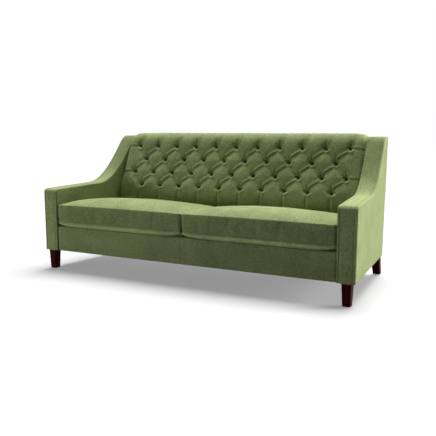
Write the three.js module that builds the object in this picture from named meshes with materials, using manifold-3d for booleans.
import * as THREE from "three";
import { mergeVertices } from "three/addons/utils/BufferGeometryUtils.js";
import Module from "manifold-3d";

// A tufted-back sofa with swept track arms, two loose box cushions and four tapered legs.
// Millimetres, +Z up. Inside the group, Y is the depth measured back from the front of the arms.

const wasm = await Module();
wasm.setup();

// Overall sizes
const WIDTH = 2140; // across the arms' front corners
const DEPTH = 935; // arm front to the top of the outside back
const ARM_REAR_HEIGHT = 884;
const BODY_BOTTOM = 128; // underside of the upholstered body
const SPLAY_SHARE = 0.09; // the arms lean outwards by this share of the way to the front
const REAR_RAKE_SHARE = 0.106; // the outside back leans back by this share of its height
const CLEARANCE = 0.3; // between pieces that touch

// Arms, with the places on the wing measured forwards from the sofa's rear
const ARM_THICKNESS = 109;
const ARM_FRONT_HEIGHT = 540;
const ARM_NOSE_RADIUS = 24;
const ARM_RISE = 15; // from the nose to the start of the swoop
const SWOOP_START_REACH = 520;
const SWOOP_FOOT_PULL = 152;
const SWOOP_FOOT_LIFT = 8;
const SWOOP_HEAD_REACH = 165;
const SWOOP_HEAD_BELOW_TOP = 36;
const SWOOP_HEAD_PULL = 81;
const SWOOP_HEAD_FALL = 99;
const WING_TOP_REACH = 99; // where the swoop has flattened out
const SHOULDER_PULL = 37;
const NOSE_STEPS = 4;
const SWOOP_STEPS = 8;
const SHOULDER_STEPS = 3;
const STRIP_THICKNESS = 12; // boxing strip round the arm
const ARM_PANEL_THICKNESS = 22; // padded inside and outside panels
const ARM_POST_DEPTH = 46;
const ARM_RAIL_HEIGHT = 42;
const WING_PANEL_REACH = 449;

// Frame under the seat
const RAIL_THICKNESS = 45;
const RAIL_HEIGHT = 124;
const RAIL_RAISE = 3; // above the body's underside, to make room for the dust cover
const SPRING_RAIL_SETBACK = 16.5; // behind the pad's pits
const SPRING_RAIL_HEIGHT = 64;
const CENTRE_RAIL_WIDTH = 45;
const BLOCK_REACH = 72;
const BLOCK_HEIGHT = 58;

// Front border and deck
const BORDER_FRONT = 5; // behind the arms' front faces
const BORDER_THICKNESS = 26;
const BORDER_LIP_DEPTH = 27;
const DECK_RISE = 37; // above the rails
const DECK_THICKNESS = 20;

// Legs
const LEG_TOP = 56;
const LEG_FOOT = 45;
const GLIDE_THICKNESS = 3;
const GLIDE_RADIUS = 12;
const GLIDE_SIDES = 16;
const FRONT_LEG_INSET = 50; // leg axis from the arm's outer face
const FRONT_LEG_DEPTH = 31;
const REAR_LEG_INSET = 39;
const REAR_LEG_SETBACK = 29; // leg axis from the foot of the outside back
const REAR_LEG_KICK = 52; // the rear feet stand this far behind their tops
const BOLT_RADIUS = 4;
const BOLT_PLAY = 0.6;
const BOLT_LENGTH = 92;
const BOLT_IN_LEG = 42;
const BOLT_SIDES = 8;

// Seat springs
const SPRING_COUNT = 8;
const SPRING_END_GAP = 152; // from the outermost spring to the inside arm, at the spring rail
const SPRING_WIDTH = 48;
const SPRING_LOOP_COUNT = 10;
const SPRING_STEPS_PER_LOOP = 4;
const SPRING_RADIUS = 2;
const SPRING_CROWN = 12;
const SPRING_LAP = 10; // how far each end lies on its rail

// Seat cushions
const CUSHION_FRONT = 5;
const CUSHION_SIDE_GAP = 2;
const CUSHION_CENTRE_GAP = 8;
const CUSHION_REAR_GAP = 3;
const BOXING_HEIGHT = 123;
const SEAM_FALL = 33; // the top seam falls this far towards the rear
const CUSHION_CROWN = 62;
const CROWN_PEAK_SHARE = 0.25; // of the way back from the front seam
const CROWN_SIDE_SHARE = 0.58; // power of the crown's rise from the sides
const CROWN_REAR_SHARE = 0.23; // what is left of the crown near the rear seam
const REAR_ROUND_SHARE = 16; // power of the crown's closing at the rear
const CUSHION_CORNER_RADIUS = 15;
const EDGE_DRAW = 5; // how far the edges pull in between the corners
const BOXING_BULGE = 3;
const BOXING_RING_COUNT = 4;
const BELLY_DEPTH = 20.7; // from the bottom seam to the deck
const LIP_DROP = 19; // the soft lip under the bottom seam
const LIP_BULGE = 10; // at the front
const LIP_SIDE_BULGE = 3;
const LIP_CORNER_POWER = 8; // the lip fades out this sharply at the corners
const CUSHION_CELL_COUNT = 12;

// Back
const BACK_RAKE_SHARE = 0.4;
const TUFT_ROW_COUNT = 4;
const LONG_ROW_COUNT = 11;
const TUFT_END_GAP = 105; // from the last tuft of a long row to the inside arm
const LOW_ROW_RISE = 92; // above the cushions' top seam
const LOW_ROW_REACH = 285; // forwards from the sofa's rear
const TOP_ROW_DROP = 81; // below the arms' rear height
const PAD_BEND_RISE = 38; // the pad stands upright behind the cushions below this
const PAD_CORE = 48; // foam left behind the pits
const PUFF_HEIGHT = 40;
const PUFF_SEAT_HEIGHT = 30;
const ROLL_RISE = 8; // pleats on the top roll above the arms' rear height
const ROLL_RADIUS = 85; // at the level of the pits
const ROLL_END_FALL = 19; // the roll dips towards the arms
const ROLL_END_REACH = 95;
const ROLL_CROWN = 13;
const ROLL_REAR_CROWN = 6;
const ROLL_REAR_FALL = 6;
const ROLL_STEPS = 4;
const PAD_FOOT_STEPS = 3;
const PAD_END_ROUND = 40; // the puffs round off to the pits' level over this reach at the arms
const PAD_END_STEPS = 3;
const PAD_SIDE_GAP = 0.6;
const CAP_RAIL_HEIGHT = 28;
const CAP_RAIL_DROP = 24; // its top below the arms' rear height
const UPRIGHT_THICKNESS = 22;
const TUFT_STRIP_SHARE = 0.54; // of the gap between two rows
const TUFT_STRIP_THICKNESS = 2;
const OUTSIDE_BACK_THICKNESS = 12;
const DUST_COVER_THICKNESS = 2;
const DUST_COVER_LAP = 20;

// Heights and depths that follow
const RAIL_BOTTOM = BODY_BOTTOM + RAIL_RAISE;
const RAIL_TOP = RAIL_BOTTOM + RAIL_HEIGHT;
const DECK_TOP = RAIL_TOP + DECK_RISE;
const SEAM_BOTTOM = DECK_TOP + CLEARANCE + BELLY_DEPTH;
const SEAM_TOP = SEAM_BOTTOM + BOXING_HEIGHT;
const PAD_BEND_HEIGHT = SEAM_TOP + PAD_BEND_RISE;
const LOW_ROW_HEIGHT = SEAM_TOP + LOW_ROW_RISE;
const TUFT_ROW_GAP = (ARM_REAR_HEIGHT - TOP_ROW_DROP - LOW_ROW_HEIGHT) / (TUFT_ROW_COUNT - 1);
const ROLL_PIT_HEIGHT = ARM_REAR_HEIGHT + ROLL_RISE;
const BACK_SLOPE = Math.atan(BACK_RAKE_SHARE);
const ROLL_START_HEIGHT = ROLL_PIT_HEIGHT - ROLL_RADIUS * (1 - Math.sin(BACK_SLOPE));
const TUFT_STRIP_WIDTH = TUFT_STRIP_SHARE * TUFT_ROW_GAP;
const CAP_RAIL_TOP = ARM_REAR_HEIGHT - CAP_RAIL_DROP;
const LOW_ROW_DEPTH = DEPTH - LOW_ROW_REACH;
const LOW_PAD_DEPTH = LOW_ROW_DEPTH - BACK_RAKE_SHARE * (LOW_ROW_HEIGHT - PAD_BEND_HEIGHT);
const SPRING_RAIL_DEPTH = LOW_PAD_DEPTH + SPRING_RAIL_SETBACK;
const CUSHION_DEPTH = LOW_PAD_DEPTH - PUFF_SEAT_HEIGHT - CUSHION_REAR_GAP - CUSHION_FRONT;
const WING_FRONT_DEPTH = DEPTH - WING_PANEL_REACH;

const HALF_WIDTH = WIDTH / 2;
const innerHalf = (depth) => HALF_WIDTH - SPLAY_SHARE * depth - ARM_THICKNESS;
const SPRING_PITCH = (2 * (innerHalf(SPRING_RAIL_DEPTH) - SPRING_END_GAP)) / (SPRING_COUNT - 1);
const TUFT_SPACING = (2 * (innerHalf(LOW_ROW_DEPTH) - TUFT_END_GAP)) / (LONG_ROW_COUNT - 1);

const finish = (color, roughness, metalness) =>
  new THREE.MeshStandardMaterial({ color, roughness, metalness });
const chenille = finish(0x7f8a5a, 0.9, 0);
const darkWood = finish(0x2a0d0b, 0.45, 0);
const frameWood = finish(0xb89468, 0.8, 0);
const steel = finish(0x8b8d90, 0.4, 1);
const cloth = finish(0x2b2b2b, 0.95, 0);
const webbing = finish(0x8f7d58, 0.95, 0);
const felt = finish(0x3a332c, 0.95, 0);

const sofa = new THREE.Group();
sofa.position.y = -DEPTH / 2;

// The arms' sheared space: across is measured inwards from the arm's outer face.
const armSpace = (side) => (across, depth, height) => [
  side * (HALF_WIDTH - SPLAY_SHARE * depth - across),
  depth,
  height,
];

// The space between the arms: share runs from -1 to 1, and inset is measured from the arms' outer faces.
const spanSpace = (inset) => (share, depth, height) => [
  share * (HALF_WIDTH - SPLAY_SHARE * depth - inset),
  depth,
  height,
];

const plainSpace = (across, depth, height) => [across, depth, height];

// Turns a geometry's faces outwards, whatever mirroring its points went through.
function outward(geometry) {
  const at = geometry.getAttribute("position");
  const order = geometry.index.array;
  const [a, b, c] = [new THREE.Vector3(), new THREE.Vector3(), new THREE.Vector3()];
  let volume = 0;
  for (let i = 0; i < order.length; i += 3) {
    a.fromBufferAttribute(at, order[i]);
    b.fromBufferAttribute(at, order[i + 1]);
    c.fromBufferAttribute(at, order[i + 2]);
    volume += a.dot(b.cross(c));
  }
  if (volume < 0) {
    for (let i = 0; i < order.length; i += 3) {
      [order[i], order[i + 1]] = [order[i + 1], order[i]];
    }
  }
  return geometry;
}

// Moves each point of a geometry by a function of its three coordinates.
function placed(geometry, place) {
  const bare = new THREE.BufferGeometry();
  const at = geometry.getAttribute("position").clone();
  for (let i = 0; i < at.count; i += 1) {
    at.setXYZ(i, ...place(at.getX(i), at.getY(i), at.getZ(i)));
  }
  bare.setAttribute("position", at);
  if (geometry.index) bare.setIndex(geometry.index.clone());
  return outward(mergeVertices(bare));
}

// A slab with an outline in depth and height, from one place across to another.
function slab(outline, from, to, place) {
  const shape = new THREE.Shape(outline.map(([depth, height]) => new THREE.Vector2(depth, height)));
  const unit = new THREE.ExtrudeGeometry(shape, { depth: 1, steps: 1, bevelEnabled: false });
  return placed(unit, (depth, height, along) => place(from + along * (to - from), depth, height));
}

// A slab with an outline across and in depth, from one height to another.
function plate(outline, from, to, place) {
  const shape = new THREE.Shape(outline.map(([across, depth]) => new THREE.Vector2(across, depth)));
  const unit = new THREE.ExtrudeGeometry(shape, { depth: 1, steps: 1, bevelEnabled: false });
  return placed(unit, (across, depth, along) => place(across, depth, from + along * (to - from)));
}

function toSolid(geometry) {
  return new wasm.Manifold(
    new wasm.Mesh({
      numProp: 3,
      vertProperties: new Float32Array(geometry.getAttribute("position").array),
      triVerts: new Uint32Array(geometry.index.array),
    }),
  );
}

function fromSolid(solid) {
  const mesh = solid.getMesh();
  const geometry = new THREE.BufferGeometry();
  geometry.setAttribute("position", new THREE.BufferAttribute(mesh.vertProperties, 3));
  geometry.setIndex(new THREE.BufferAttribute(mesh.triVerts, 1));
  return geometry;
}

const cut = (geometry, tool) => fromSolid(toSolid(geometry).subtract(toSolid(tool)));

function add(name, geometry, material) {
  const shown = geometry.index ? geometry.toNonIndexed() : geometry;
  shown.computeVertexNormals();
  const mesh = new THREE.Mesh(shown, material);
  mesh.name = name;
  sofa.add(mesh);
  return mesh;
}

const sideName = (side) => (side > 0 ? "right" : "left");
const SIDES = [-1, 1];

const rearDepth = (height, inset) =>
  DEPTH - REAR_RAKE_SHARE * (ARM_REAR_HEIGHT - height) - inset;
const REAR_RAIL_DEPTH = rearDepth(RAIL_BOTTOM, OUTSIDE_BACK_THICKNESS + CLEARANCE) - RAIL_THICKNESS;

const rearLegDepth = rearDepth(BODY_BOTTOM, REAR_LEG_SETBACK);

// The pad's line through the bottoms of the pits, and the same line further back.
const pitDepth = (height, behind) =>
  LOW_PAD_DEPTH + BACK_RAKE_SHARE * Math.max(height - PAD_BEND_HEIGHT, 0) + behind;

// Arms

// The arm's outline from the bottom of its front face over the top to its rear, drawn in by inset.
function armLine(inset) {
  const noseTop = new THREE.Vector2(ARM_NOSE_RADIUS, ARM_FRONT_HEIGHT);
  const start = new THREE.Vector2(DEPTH - SWOOP_START_REACH, ARM_FRONT_HEIGHT + ARM_RISE);
  const head = new THREE.Vector2(DEPTH - SWOOP_HEAD_REACH, ARM_REAR_HEIGHT - SWOOP_HEAD_BELOW_TOP);
  const wingTop = new THREE.Vector2(DEPTH - WING_TOP_REACH, ARM_REAR_HEIGHT);
  const nose = new THREE.EllipseCurve(
    ARM_NOSE_RADIUS, ARM_FRONT_HEIGHT - ARM_NOSE_RADIUS, ARM_NOSE_RADIUS, ARM_NOSE_RADIUS,
    Math.PI, Math.PI / 2, true,
  );
  const swoop = new THREE.CubicBezierCurve(
    start,
    new THREE.Vector2(start.x + SWOOP_FOOT_PULL, start.y + SWOOP_FOOT_LIFT),
    new THREE.Vector2(head.x - SWOOP_HEAD_PULL, head.y - SWOOP_HEAD_FALL),
    head,
  );
  const shoulder = new THREE.QuadraticBezierCurve(
    head, new THREE.Vector2(wingTop.x - SHOULDER_PULL, wingTop.y), wingTop,
  );
  const points = [[inset, BODY_BOTTOM]];
  const follow = (curve, steps) => {
    for (let i = 0; i <= steps; i += 1) {
      const at = curve.getPoint(i / steps);
      const along = curve.getTangent(i / steps);
      points.push([at.x + along.y * inset, at.y - along.x * inset]);
    }
  };
  follow(nose, NOSE_STEPS);
  follow(new THREE.LineCurve(noseTop, start), 1);
  follow(swoop, SWOOP_STEPS);
  follow(shoulder, SHOULDER_STEPS);
  const rearHeight = ARM_REAR_HEIGHT - inset;
  points.push([rearDepth(rearHeight, OUTSIDE_BACK_THICKNESS + CLEARANCE), rearHeight]);
  return points.filter(
    (point, i) => i === 0 || Math.hypot(point[0] - points[i - 1][0], point[1] - points[i - 1][1]) > CLEARANCE,
  );
}

const UNDER_STRIP = STRIP_THICKNESS + CLEARANCE;
const WOOD_NEAR = ARM_PANEL_THICKNESS + CLEARANCE;
const WOOD_FAR = ARM_THICKNESS - ARM_PANEL_THICKNESS - CLEARANCE;
const FRAME_INSET = WOOD_FAR + CLEARANCE;

function addArmStrip(side) {
  const outline = [...armLine(0), ...armLine(STRIP_THICKNESS).reverse()];
  add(`${sideName(side)}_arm_strip`, slab(outline, 0, ARM_THICKNESS, armSpace(side)), chenille);
}

function addOutsideArm(side) {
  const outline = [
    ...armLine(UNDER_STRIP),
    [rearDepth(BODY_BOTTOM, OUTSIDE_BACK_THICKNESS + CLEARANCE), BODY_BOTTOM],
  ];
  add(`${sideName(side)}_outside_arm`, slab(outline, 0, ARM_PANEL_THICKNESS, armSpace(side)), chenille);
}

// The inside panel stops above the seat rails and at the back of the pad, where the frame passes into the arm.
function addInsideArm(side) {
  const whole = slab(
    [...armLine(UNDER_STRIP), [rearDepth(BODY_BOTTOM, OUTSIDE_BACK_THICKNESS + CLEARANCE), BODY_BOTTOM]],
    ARM_THICKNESS - ARM_PANEL_THICKNESS,
    ARM_THICKNESS,
    armSpace(side),
  );
  const panelBottom = RAIL_TOP + CLEARANCE;
  const behindPad = slab(
    [
      [-DEPTH, -ARM_REAR_HEIGHT],
      [-DEPTH, panelBottom],
      [pitDepth(panelBottom, PAD_CORE), panelBottom],
      [pitDepth(PAD_BEND_HEIGHT, PAD_CORE), PAD_BEND_HEIGHT],
      [pitDepth(ARM_REAR_HEIGHT, PAD_CORE), ARM_REAR_HEIGHT],
      [DEPTH + PAD_CORE, ARM_REAR_HEIGHT],
      [DEPTH + PAD_CORE, -ARM_REAR_HEIGHT],
    ],
    0,
    ARM_THICKNESS + ARM_PANEL_THICKNESS,
    armSpace(side),
  );
  add(`${sideName(side)}_inside_arm`, cut(whole, behindPad), chenille);
}

const postRear = UNDER_STRIP + ARM_POST_DEPTH;

// The height of the arm's line above a depth, for the wood that ends under the strip.
function heightUnderStrip(depth) {
  const line = armLine(UNDER_STRIP);
  for (let i = 1; i < line.length; i += 1) {
    const [from, to] = [line[i - 1], line[i]];
    if (from[0] <= depth && depth <= to[0] && to[0] > from[0]) {
      return from[1] + ((depth - from[0]) / (to[0] - from[0])) * (to[1] - from[1]);
    }
  }
  return line[0][1];
}

function boltHole(side, inset, depth) {
  const hole = new THREE.CylinderGeometry(
    BOLT_RADIUS + BOLT_PLAY, BOLT_RADIUS + BOLT_PLAY, 2 * BOLT_LENGTH, BOLT_SIDES,
  );
  const [x, y] = armSpace(side)(inset, depth, 0);
  return placed(hole, (across, up, forward) => [x + across, y + forward, BODY_BOTTOM + up]);
}

function addArmPost(side) {
  const railBottom = (depth) => heightUnderStrip(depth) - ARM_RAIL_HEIGHT - CLEARANCE;
  const outline = [
    [UNDER_STRIP, BODY_BOTTOM],
    [UNDER_STRIP, railBottom(postRear)],
    [postRear, railBottom(postRear)],
    [postRear, BODY_BOTTOM],
  ];
  const post = slab(outline, WOOD_NEAR, WOOD_FAR, armSpace(side));
  const drilled = cut(post, boltHole(side, FRONT_LEG_INSET, FRONT_LEG_DEPTH));
  add(`${sideName(side)}_arm_post`, drilled, frameWood);
}

function addArmRail(side) {
  const end = WING_FRONT_DEPTH - CLEARANCE;
  const line = armLine(UNDER_STRIP).filter(([depth], i) => i > 0 && depth < end);
  const underside = heightUnderStrip(postRear) - ARM_RAIL_HEIGHT;
  const outline = [
    [UNDER_STRIP, underside],
    ...line,
    [end, heightUnderStrip(end)],
    [end, underside],
  ];
  add(`${sideName(side)}_arm_rail`, slab(outline, WOOD_NEAR, WOOD_FAR, armSpace(side)), frameWood);
}

function addSideRail(side) {
  const outline = [
    [postRear + CLEARANCE, RAIL_BOTTOM],
    [postRear + CLEARANCE, RAIL_TOP],
    [WING_FRONT_DEPTH - CLEARANCE, RAIL_TOP],
    [WING_FRONT_DEPTH - CLEARANCE, RAIL_BOTTOM],
  ];
  add(`${sideName(side)}_side_rail`, slab(outline, WOOD_NEAR, WOOD_FAR, armSpace(side)), frameWood);
}

function addWingPanel(side) {
  const line = armLine(UNDER_STRIP).filter(([depth]) => depth > WING_FRONT_DEPTH);
  const outline = [
    [WING_FRONT_DEPTH, BODY_BOTTOM],
    [WING_FRONT_DEPTH, heightUnderStrip(WING_FRONT_DEPTH)],
    ...line,
    [rearDepth(BODY_BOTTOM, OUTSIDE_BACK_THICKNESS + CLEARANCE), BODY_BOTTOM],
  ];
  const panel = slab(outline, WOOD_NEAR, WOOD_FAR, armSpace(side));
  const drilled = cut(panel, boltHole(side, REAR_LEG_INSET, rearLegDepth));
  add(`${sideName(side)}_wing_panel`, drilled, frameWood);
}

// Seat frame

const boxOutline = (front, rear, bottom, top) => [
  [front, bottom],
  [front, top],
  [rear, top],
  [rear, bottom],
];

const railFront = BORDER_FRONT + BORDER_THICKNESS + CLEARANCE;
const railRear = railFront + RAIL_THICKNESS;
const borderLipRear = BORDER_FRONT + BORDER_THICKNESS + BORDER_LIP_DEPTH;

function addSeatRails() {
  const between = spanSpace(FRAME_INSET);
  const rail = (name, front, bottom) => {
    const outline = boxOutline(front, front + RAIL_THICKNESS, bottom, RAIL_TOP);
    add(name, slab(outline, -1, 1, between), frameWood);
  };
  rail("front_rail", railFront, RAIL_BOTTOM);
  rail("spring_rail", SPRING_RAIL_DEPTH, RAIL_TOP - SPRING_RAIL_HEIGHT);
  rail("rear_rail", REAR_RAIL_DEPTH, RAIL_BOTTOM);
}

function addCentreRail() {
  const outline = boxOutline(
    railRear + CLEARANCE,
    REAR_RAIL_DEPTH - CLEARANCE,
    RAIL_BOTTOM,
    RAIL_TOP - SPRING_RAIL_HEIGHT - CLEARANCE,
  );
  const half = CENTRE_RAIL_WIDTH / 2;
  add("centre_rail", slab(outline, -half, half, plainSpace), frameWood);
}

// A glued triangular block in the corner between a cross rail and the arm's woodwork.
function addCornerBlock(name, side, cornerDepth, reach) {
  const corner = FRAME_INSET + CLEARANCE;
  const outline = [
    [corner, cornerDepth],
    [corner + BLOCK_REACH, cornerDepth],
    [corner, cornerDepth + reach],
  ];
  const top = RAIL_BOTTOM + BLOCK_HEIGHT;
  add(name, plate(outline, RAIL_BOTTOM, top, armSpace(side)), frameWood);
}

function addCornerBlocks(side) {
  const blockFront = Math.max(railRear, UNDER_STRIP) + CLEARANCE;
  addCornerBlock(`front_${sideName(side)}_corner_block`, side, blockFront, BLOCK_REACH);
  const blockRear = REAR_RAIL_DEPTH - CLEARANCE;
  addCornerBlock(`rear_${sideName(side)}_corner_block`, side, blockRear, -BLOCK_REACH);
}

// A padded border over the front rail, with a lip that laps its top.
function addFrontBorder() {
  const slabRear = BORDER_FRONT + BORDER_THICKNESS;
  const outline = [
    [BORDER_FRONT, BODY_BOTTOM],
    [BORDER_FRONT, DECK_TOP],
    [borderLipRear, DECK_TOP],
    [borderLipRear, RAIL_TOP + CLEARANCE],
    [slabRear, RAIL_TOP + CLEARANCE],
    [slabRear, BODY_BOTTOM],
  ];
  add("front_border", slab(outline, -1, 1, spanSpace(ARM_THICKNESS + CLEARANCE)), chenille);
}

function addSeatDeck() {
  const outline = boxOutline(
    borderLipRear + CLEARANCE,
    pitDepth(DECK_TOP, PAD_CORE) - CLEARANCE,
    DECK_TOP - DECK_THICKNESS,
    DECK_TOP,
  );
  add("seat_deck", slab(outline, -1, 1, spanSpace(ARM_THICKNESS + CLEARANCE)), cloth);
}

// A sinuous spring: one wire bent to and fro from the front rail to the spring rail, crowned in the middle.
function addSeatSpring(index) {
  const x = (index - (SPRING_COUNT - 1) / 2) * SPRING_PITCH;
  const front = railRear - SPRING_LAP;
  const rear = SPRING_RAIL_DEPTH + SPRING_LAP;
  const loopGap = (rear - front) / (SPRING_LOOP_COUNT + 1 / 2);
  const half = SPRING_WIDTH / 2 - SPRING_RADIUS;
  const seat = RAIL_TOP + CLEARANCE + SPRING_RADIUS;
  const points = [];
  for (let i = 0; i <= SPRING_LOOP_COUNT; i += 1) {
    const share = i / SPRING_LOOP_COUNT;
    const height = seat + SPRING_CROWN * Math.sin(Math.PI * share);
    const sway = i % 2 ? half : -half;
    points.push(new THREE.Vector3(x + sway, front + i * loopGap, height));
    points.push(new THREE.Vector3(x + sway, front + (i + 1 / 2) * loopGap, height));
  }
  const path = new THREE.CatmullRomCurve3(points);
  const wire = new THREE.Shape();
  wire.moveTo(SPRING_RADIUS, 0);
  wire.lineTo(0, SPRING_RADIUS);
  wire.lineTo(-SPRING_RADIUS, 0);
  wire.lineTo(0, -SPRING_RADIUS);
  const bent = new THREE.ExtrudeGeometry(wire, {
    extrudePath: path,
    steps: SPRING_LOOP_COUNT * SPRING_STEPS_PER_LOOP,
  });
  add(`seat_spring_${index + 1}`, placed(bent, plainSpace), steel);
}

function addDustCover() {
  const outline = boxOutline(
    railFront + DUST_COVER_LAP,
    REAR_RAIL_DEPTH + RAIL_THICKNESS - DUST_COVER_LAP,
    RAIL_BOTTOM - CLEARANCE - DUST_COVER_THICKNESS,
    RAIL_BOTTOM - CLEARANCE,
  );
  add("dust_cover", slab(outline, -1, 1, spanSpace(WOOD_FAR + DUST_COVER_LAP)), cloth);
}

// Legs

function addLeg(name, side, inset, depth, kick) {
  const legTop = BODY_BOTTOM;
  const [x, y] = armSpace(side)(inset, depth, 0);
  const section = (share) => {
    const half = (LEG_FOOT + (LEG_TOP - LEG_FOOT) * share) / 2;
    return { half, y: y + kick * (1 - share) };
  };
  const unit = new THREE.BoxGeometry(1, 1, 1);
  const body = placed(unit, (across, forward, up) => {
    const share = up + 1 / 2;
    const at = section(share);
    const height = GLIDE_THICKNESS + (legTop - GLIDE_THICKNESS) * share;
    return [x + 2 * across * at.half, at.y + 2 * forward * at.half, height];
  });
  const hole = new THREE.CylinderGeometry(
    BOLT_RADIUS + BOLT_PLAY, BOLT_RADIUS + BOLT_PLAY, 2 * (BOLT_IN_LEG + CLEARANCE), BOLT_SIDES,
  );
  const socket = placed(hole, (across, up, forward) => [x + across, y + forward, legTop + up]);
  add(`${name}_leg`, cut(body, socket), darkWood);

  const bolt = new THREE.CylinderGeometry(BOLT_RADIUS, BOLT_RADIUS, BOLT_LENGTH, BOLT_SIDES);
  const boltMiddle = legTop - BOLT_IN_LEG + BOLT_LENGTH / 2;
  const boltPlace = (across, up, forward) => [x + across, y + forward, boltMiddle + up];
  add(`${name}_hanger_bolt`, placed(bolt, boltPlace), steel);

  const glide = new THREE.CylinderGeometry(GLIDE_RADIUS, GLIDE_RADIUS, GLIDE_THICKNESS, GLIDE_SIDES);
  const foot = section(0);
  const glidePlace = (across, up, forward) => [x + across, foot.y + forward, GLIDE_THICKNESS / 2 + up];
  add(`${name}_glide`, placed(glide, glidePlace), felt);
}

function addLegs(side) {
  addLeg(`front_${sideName(side)}`, side, FRONT_LEG_INSET, FRONT_LEG_DEPTH, 0);
  addLeg(`rear_${sideName(side)}`, side, REAR_LEG_INSET, rearLegDepth, REAR_LEG_KICK);
}

// Back

const behindStrips = PAD_CORE + 2 * CLEARANCE + TUFT_STRIP_THICKNESS;

function addCapRail() {
  const low = CAP_RAIL_TOP - CAP_RAIL_HEIGHT;
  const inner = OUTSIDE_BACK_THICKNESS + CLEARANCE;
  const outline = [
    [pitDepth(low, behindStrips), low],
    [pitDepth(CAP_RAIL_TOP, behindStrips), CAP_RAIL_TOP],
    [rearDepth(CAP_RAIL_TOP, inner), CAP_RAIL_TOP],
    [rearDepth(low, inner), low],
  ];
  add("back_cap_rail", slab(outline, -1, 1, spanSpace(FRAME_INSET)), frameWood);
}

function addUpright(side) {
  const inner = OUTSIDE_BACK_THICKNESS + CLEARANCE;
  const low = RAIL_TOP + CLEARANCE;
  const high = CAP_RAIL_TOP - CAP_RAIL_HEIGHT - CLEARANCE;
  const outline = [
    [pitDepth(low, behindStrips), low],
    [pitDepth(PAD_BEND_HEIGHT, behindStrips), PAD_BEND_HEIGHT],
    [pitDepth(high, behindStrips), high],
    [rearDepth(high, inner), high],
    [rearDepth(low, inner), low],
  ];
  const middle = side * SPRING_PITCH; // between two springs
  const half = UPRIGHT_THICKNESS / 2;
  const geometry = slab(outline, middle - half, middle + half, plainSpace);
  add(`${sideName(side)}_back_upright`, geometry, frameWood);
}

// Webbing across the uprights behind each row of tufts, which their twine is tied to.
function addTuftStrip(row) {
  const middle = LOW_ROW_HEIGHT + row * TUFT_ROW_GAP;
  const [low, high] = [middle - TUFT_STRIP_WIDTH / 2, middle + TUFT_STRIP_WIDTH / 2];
  const near = PAD_CORE + CLEARANCE;
  const far = near + TUFT_STRIP_THICKNESS;
  const outline = [
    [pitDepth(low, near), low],
    [pitDepth(high, near), high],
    [pitDepth(high, far), high],
    [pitDepth(low, far), low],
  ];
  add(`tuft_strip_${row + 1}`, slab(outline, -1, 1, spanSpace(FRAME_INSET)), webbing);
}

function addOutsideBack() {
  const outline = [
    [rearDepth(BODY_BOTTOM, OUTSIDE_BACK_THICKNESS), BODY_BOTTOM],
    [rearDepth(ARM_REAR_HEIGHT, OUTSIDE_BACK_THICKNESS), ARM_REAR_HEIGHT],
    [rearDepth(ARM_REAR_HEIGHT, 0), ARM_REAR_HEIGHT],
    [rearDepth(BODY_BOTTOM, 0), BODY_BOTTOM],
  ];
  add("outside_back", slab(outline, -1, 1, spanSpace(0)), chenille);
}

const arc = (share) => Math.sqrt(1 - (1 - Math.min(Math.max(share, 0), 1)) ** 2);
const pleatShare = (value) => 2 * Math.abs(value - Math.round(value));

// The height of the puffs between the pits, as a share: 0 in a pit, 1 on a crown, half way on a pleat.
function puffShare(x, rowShare) {
  const column = x / TUFT_SPACING;
  const lastRow = TUFT_ROW_COUNT - 1;
  const endColumn = (LONG_ROW_COUNT - 1) / 2;
  const past = 2 * (Math.abs(column) - endColumn);
  if (rowShare > lastRow) {
    const rise = arc(rowShare - lastRow);
    const pleat = past > 0 ? past : pleatShare(column);
    return rise / 2 + (1 - rise / 2) * arc(pleat);
  }
  if (past > 0) {
    const pleat = rowShare < 1 ? 1 - rowShare : 1 - Math.abs(rowShare - 2);
    return arc(past) / 2 + (1 - arc(past) / 2) * arc(pleat);
  }
  if (rowShare < 0) {
    const rise = arc(-rowShare);
    return rise / 2 + (1 - rise / 2) * arc(pleatShare(column + 1 / 2));
  }
  const [falling, rising] = [column + (1 + rowShare) / 2, column + (1 - rowShare) / 2];
  return (arc(pleatShare(rising)) + arc(pleatShare(falling))) / 2;
}

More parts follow.
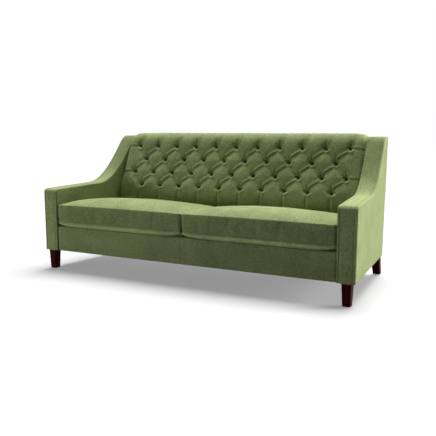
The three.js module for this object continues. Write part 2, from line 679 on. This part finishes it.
// The pad's profile at the pits' level: places, outward directions and the puffs' full height there.
function padStations() {
  const slope = BACK_SLOPE;
  const stations = [];
  const padFoot = DECK_TOP + CLEARANCE;
  const lowStart = (LOW_ROW_HEIGHT - TUFT_ROW_GAP / 2 + PAD_BEND_HEIGHT) / 2;
  for (let i = 0; i < PAD_FOOT_STEPS; i += 1) {
    const height = padFoot + (i / PAD_FOOT_STEPS) * (lowStart - padFoot);
    stations.push({ depth: pitDepth(height, 0), height, turn: 0, puff: PUFF_SEAT_HEIGHT, endFall: 0 });
  }
  for (let i = -1; i < 2 * TUFT_ROW_COUNT - 1; i += 1) {
    const height = LOW_ROW_HEIGHT + (i / 2) * TUFT_ROW_GAP;
    const below = i < 0;
    const turn = below ? slope / 2 : slope;
    const puff = below ? (PUFF_HEIGHT + PUFF_SEAT_HEIGHT) / 2 : PUFF_HEIGHT;
    stations.push({ depth: pitDepth(height, 0), height, turn, puff, endFall: 0 });
  }
  const rollDepth = pitDepth(ROLL_START_HEIGHT, 0);
  for (let i = 0; i <= ROLL_STEPS; i += 1) {
    const share = i / ROLL_STEPS;
    const turn = slope + share * (Math.PI / 2 - slope);
    stations.push({
      depth: rollDepth + ROLL_RADIUS * (Math.cos(slope) - Math.cos(turn)),
      height: ROLL_START_HEIGHT + ROLL_RADIUS * (Math.sin(turn) - Math.sin(slope)),
      turn,
      puff: PUFF_HEIGHT + share * (ROLL_CROWN - PUFF_HEIGHT),
      endFall: share * ROLL_END_FALL,
    });
  }
  const rearTop = rearDepth(ARM_REAR_HEIGHT, OUTSIDE_BACK_THICKNESS + CLEARANCE);
  stations.push({
    depth: rearTop,
    height: ROLL_PIT_HEIGHT - ROLL_REAR_FALL,
    turn: Math.PI / 2,
    puff: ROLL_REAR_CROWN,
    endFall: 0,
  });
  return stations;
}

const padEnd = (depth) => innerHalf(depth) - PAD_SIDE_GAP;

// The columns of the pad's grid: quarters of the tuft spacing, and more beyond the last tufts that
// crowd towards the arms.
function padColumns(depth) {
  const quarter = TUFT_SPACING / 4;
  const last = 2 * (LONG_ROW_COUNT - 1);
  const end = padEnd(depth);
  const xs = [];
  for (let j = -last; j <= last; j += 1) xs.push(j * quarter);
  for (let i = PAD_END_STEPS; i >= 0; i -= 1) {
    const x = end - PAD_END_ROUND * (i / PAD_END_STEPS) ** 2;
    xs.push(x);
    xs.unshift(-x);
  }
  return xs;
}

function padPoint(station, x) {
  const rowShare = (station.height - LOW_ROW_HEIGHT) / TUFT_ROW_GAP;
  const gap = padEnd(station.depth) - Math.abs(x);
  const fall = station.endFall * (1 - Math.sqrt(arc(gap / ROLL_END_REACH)));
  const lift = station.puff * puffShare(x, rowShare) * arc(gap / PAD_END_ROUND) - fall;
  return [
    x,
    station.depth - lift * Math.cos(station.turn),
    station.height + lift * Math.sin(station.turn),
  ];
}

// The tufted back pad: a grid over its face and top roll, closed by flat ends, a foot and its plain rear.
function addBackPad() {
  const stations = padStations();
  const columns = stations.map((station) => padColumns(station.depth));
  const across = columns[0].length;
  const points = [];
  stations.forEach((station, i) => {
    columns[i].forEach((x) => points.push(padPoint(station, x)));
  });
  const faces = [];
  const at = (i, j) => i * across + j;
  for (let i = 0; i + 1 < stations.length; i += 1) {
    for (let j = 0; j + 1 < across; j += 1) {
      const corners = [at(i, j), at(i, j + 1), at(i + 1, j + 1), at(i + 1, j)];
      const rowShare = (stations[i].height - LOW_ROW_HEIGHT) / TUFT_ROW_GAP;
      const column = columns[i][j] / TUFT_SPACING;
      const rising = pleatShare(column + (1 - rowShare) / 2) < 1 / 8;
      const [a, b, c, d] = rising ? corners : [corners[1], corners[2], corners[3], corners[0]];
      faces.push([a, b, c], [a, c, d]);
    }
  }
  closePad(points, faces, stations, across);
  const geometry = new THREE.BufferGeometry();
  geometry.setAttribute("position", new THREE.Float32BufferAttribute(points.flat(), 3));
  geometry.setIndex(faces.flat());
  add("back_pad", outward(geometry), chenille);
}

// Adds the rear corners of the pad and fills the flat faces between them and the grid's edges.
function closePad(points, faces, stations, across) {
  const rearLine = [
    [rearDepth(CAP_RAIL_TOP, OUTSIDE_BACK_THICKNESS + CLEARANCE), CAP_RAIL_TOP + CLEARANCE],
    [pitDepth(CAP_RAIL_TOP, PAD_CORE), CAP_RAIL_TOP + CLEARANCE],
    [pitDepth(PAD_BEND_HEIGHT, PAD_CORE), PAD_BEND_HEIGHT],
    [pitDepth(DECK_TOP, PAD_CORE), DECK_TOP + CLEARANCE],
  ];
  const rings = [-1, 1].map((side) =>
    rearLine.map(([depth, height]) => points.push([side * padEnd(depth), depth, height]) - 1),
  );
  const at = (i, j) => i * across + j;
  const lastRow = stations.length - 1;
  [0, across - 1].forEach((j, end) => {
    const loop = [...stations.map((station, i) => at(i, j)), ...rings[end]];
    fill(points, faces, loop, (point) => [point[1], point[2]], end === 0);
  });
  const bottom = [...Array(across).keys()].map((j) => at(0, j));
  const foot = rearLine.length - 1;
  fill(points, faces, [...bottom, rings[1][foot], rings[0][foot]], (point) => [point[0], point[1]], true);
  const top = [...Array(across).keys()].map((j) => at(lastRow, j));
  fill(points, faces, [...top, rings[1][0], rings[0][0]], (point) => [point[0], point[2]], true);
  for (let k = 0; k + 1 < rearLine.length; k += 1) {
    const [[a, b], [d, c]] = rings.map((ring) => [ring[k], ring[k + 1]]);
    faces.push([a, c, b], [a, d, c]);
  }
}

// Triangulates a loop of points that lie in one flat face. The triangles come out anticlockwise in the
// flattened plane, and are turned where the face looks the other way.
function fill(points, faces, loop, flatten, turned) {
  const flat = loop.map((index) => new THREE.Vector2(...flatten(points[index])));
  THREE.ShapeUtils.triangulateShape(flat, []).forEach(([a, b, c]) => {
    faces.push((turned ? [a, c, b] : [a, b, c]).map((k) => loop[k]));
  });
}

// Seat cushions

const arch = (value) => Math.max(1 - value ** 2, 0);

// Rounds the corners of a square from -1 to 1: in a corner's own square, the points are drawn onto circles.
function cornerRounded(u, v, halfWidth, halfDepth) {
  const past = (value, half) => 1 - ((1 - Math.abs(value)) * half) / CUSHION_CORNER_RADIUS;
  const [across, back] = [past(u, halfWidth), past(v, halfDepth)];
  if (across <= 0 || back <= 0) return [u, v];
  const drawn = Math.max(across, back) / Math.hypot(across, back);
  const turned = (value, share, half) =>
    Math.sign(value) * (1 - ((1 - share * drawn) * CUSHION_CORNER_RADIUS) / half);
  return [turned(u, across, halfWidth), turned(v, back, halfDepth)];
}

// The cushion's plan at s across and t in depth, from -1 to 1, its edges drawn in between the corners.
function cushionPlan(side, s, t, draw, frontDraw) {
  const inner = CUSHION_CENTRE_GAP / 2;
  const halfAt = (depth) => (innerHalf(depth) - CUSHION_SIDE_GAP - inner) / 2;
  const halfDepth = CUSHION_DEPTH / 2;
  const [u, v] = cornerRounded(s, t, halfAt(CUSHION_FRONT + halfDepth), halfDepth);
  const inwards = v < 0 ? frontDraw : draw;
  const depth = CUSHION_FRONT + (v + 1) * halfDepth - v * inwards * arch(s);
  const half = halfAt(depth);
  return [side * (inner + half + u * (half - draw * arch(t))), depth];
}

// The height of a cushion's top seam, which falls towards the rear.
const seamHeight = (v) => SEAM_TOP - (SEAM_FALL * (v + 1)) / 2;

// The rings round a cushion's edge from the belly up: how far each is drawn in, and its height.
function cushionRings() {
  const lip = (u, v) => LIP_DROP * (1 - Math.abs(u * v) ** LIP_CORNER_POWER);
  const rings = [
    { draw: EDGE_DRAW, frontDraw: EDGE_DRAW, height: (u, v) => SEAM_BOTTOM - lip(u, v) },
    {
      draw: EDGE_DRAW - LIP_SIDE_BULGE,
      frontDraw: EDGE_DRAW - LIP_BULGE,
      height: (u, v) => SEAM_BOTTOM - lip(u, v) / 2,
    },
  ];
  for (let i = 0; i <= BOXING_RING_COUNT; i += 1) {
    const share = i / BOXING_RING_COUNT;
    const draw = EDGE_DRAW - BOXING_BULGE * Math.sin(Math.PI * share);
    const height = (u, v) => SEAM_BOTTOM + share * (seamHeight(v) - SEAM_BOTTOM);
    rings.push({ draw, frontDraw: draw, height });
  }
  return rings;
}

// A crowned top's height as a share: it rises from the front seam to its peak and falls slowly to the rear.
function crownShare(u, v) {
  const along = (v + 1) / 2;
  const ahead = Math.max(CROWN_PEAK_SHARE - along, 0) / CROWN_PEAK_SHARE;
  const behind = Math.max(along - CROWN_PEAK_SHARE, 0) / (1 - CROWN_PEAK_SHARE);
  const falling = 1 - (1 - CROWN_REAR_SHARE) * behind ** 2;
  const closing = v > 0 ? Math.sqrt(1 - v ** REAR_ROUND_SHARE) : 1;
  return arch(u) ** CROWN_SIDE_SHARE * arch(ahead) * falling * closing;
}

const bellyShare = (u, v) => Math.sqrt(arch(u) * arch(v));

// One loose box cushion: a crowned top and a belly on grids, joined by the rings of its lip and boxing.
function addSeatCushion(side) {
  const rings = cushionRings();
  const last = CUSHION_CELL_COUNT;
  const cell = (i) => Math.sin(((i / last) * 2 - 1) * (Math.PI / 2));
  const points = [];
  const faces = [];
  const ringPoint = (ring, u, v) => [
    ...cushionPlan(side, u, v, ring.draw, ring.frontDraw),
    ring.height(u, v),
  ];
  const sheet = (ring, swell, shareAt, turned) => {
    const start = points.length;
    for (let i = 0; i <= last; i += 1) {
      for (let j = 0; j <= last; j += 1) {
        const [u, v] = [cell(i), cell(j)];
        const [x, y, z] = ringPoint(ring, u, v);
        points.push([x, y, z + swell * shareAt(u, v)]);
      }
    }
    const at = (i, j) => start + i * (last + 1) + j;
    for (let i = 0; i < last; i += 1) {
      for (let j = 0; j < last; j += 1) {
        const [a, b, c, d] = [at(i, j), at(i + 1, j), at(i + 1, j + 1), at(i, j + 1)];
        faces.push(...(turned ? [[a, c, b], [a, d, c]] : [[a, b, c], [a, c, d]]));
      }
    }
    return at;
  };
  const rim = [];
  for (let i = 0; i < last; i += 1) rim.push([i, 0]);
  for (let j = 0; j < last; j += 1) rim.push([last, j]);
  for (let i = last; i > 0; i -= 1) rim.push([i, last]);
  for (let j = last; j > 0; j -= 1) rim.push([0, j]);
  const belly = sheet(rings[0], LIP_DROP - BELLY_DEPTH, bellyShare, true);
  const top = sheet(rings[rings.length - 1], CUSHION_CROWN, crownShare, false);
  let lower = rim.map(([i, j]) => belly(i, j));
  rings.slice(1).forEach((ring, k) => {
    const isTop = k === rings.length - 2;
    const upper = rim.map(([i, j]) =>
      isTop ? top(i, j) : points.push(ringPoint(ring, cell(i), cell(j))) - 1,
    );
    lower.forEach((a, n) => {
      const next = (n + 1) % lower.length;
      faces.push([a, lower[next], upper[next]], [a, upper[next], upper[n]]);
    });
    lower = upper;
  });
  const geometry = new THREE.BufferGeometry();
  geometry.setAttribute("position", new THREE.Float32BufferAttribute(points.flat(), 3));
  geometry.setIndex(faces.flat());
  add(`${sideName(side)}_seat_cushion`, outward(geometry), chenille);
}

SIDES.forEach((side) => {
  addArmStrip(side);
  addOutsideArm(side);
  addInsideArm(side);
  addArmPost(side);
  addArmRail(side);
  addSideRail(side);
  addWingPanel(side);
  addCornerBlocks(side);
  addLegs(side);
  addUpright(side);
  addSeatCushion(side);
});
addSeatRails();
addCentreRail();
addFrontBorder();
addSeatDeck();
for (let i = 0; i < SPRING_COUNT; i += 1) addSeatSpring(i);
addDustCover();
addCapRail();
for (let row = 0; row < TUFT_ROW_COUNT; row += 1) addTuftStrip(row);
addOutsideBack();
addBackPad();

export default sofa;
